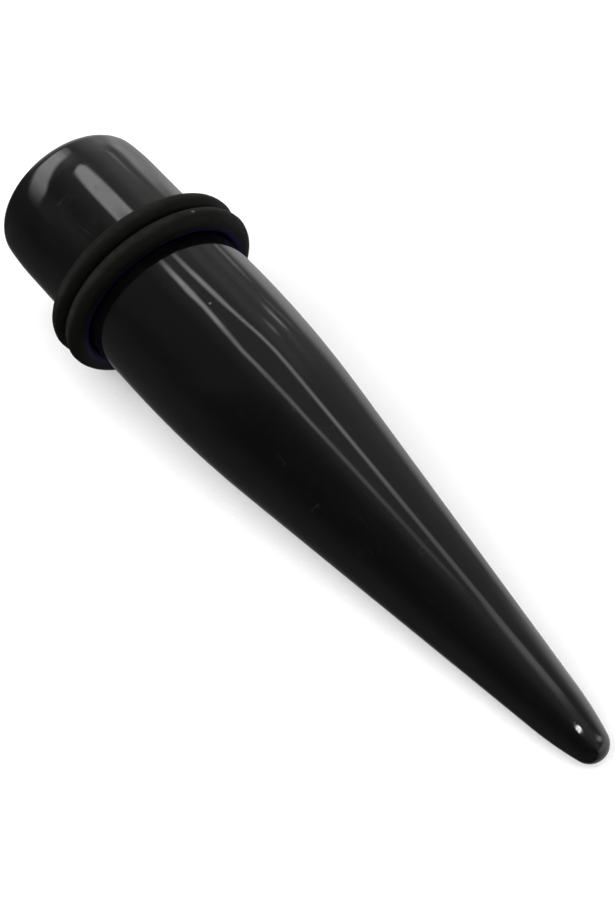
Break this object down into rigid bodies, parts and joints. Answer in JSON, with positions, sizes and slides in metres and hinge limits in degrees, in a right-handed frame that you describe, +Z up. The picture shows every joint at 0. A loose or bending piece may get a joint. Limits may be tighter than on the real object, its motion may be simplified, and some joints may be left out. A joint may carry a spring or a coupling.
{
  "type": "ear stretching taper",
  "caption": "Straight gloss acrylic taper with a cylindrical shank and a rounded tip, for stretching an ear piercing, held in place by rubber O-rings pushed onto its shank.",
  "frame": {"origin": "on the floor under the middle of the box round the whole part as it lies on its side", "axes": "+X along the length towards the tip, +Z up from the floor, +Y to the left of someone looking from the flat end towards the tip"},
  "size_m": [0.0574, 0.0152, 0.015],
  "materials": {
    "acrylic": "polished solid black acrylic",
    "rubber": "matt black moulded rubber"
  },
  "bodies": {
    "root": {"taper": "acrylic", "o_ring_rear": "rubber", "o_ring_front": "rubber"}
  },
  "joints": []
}
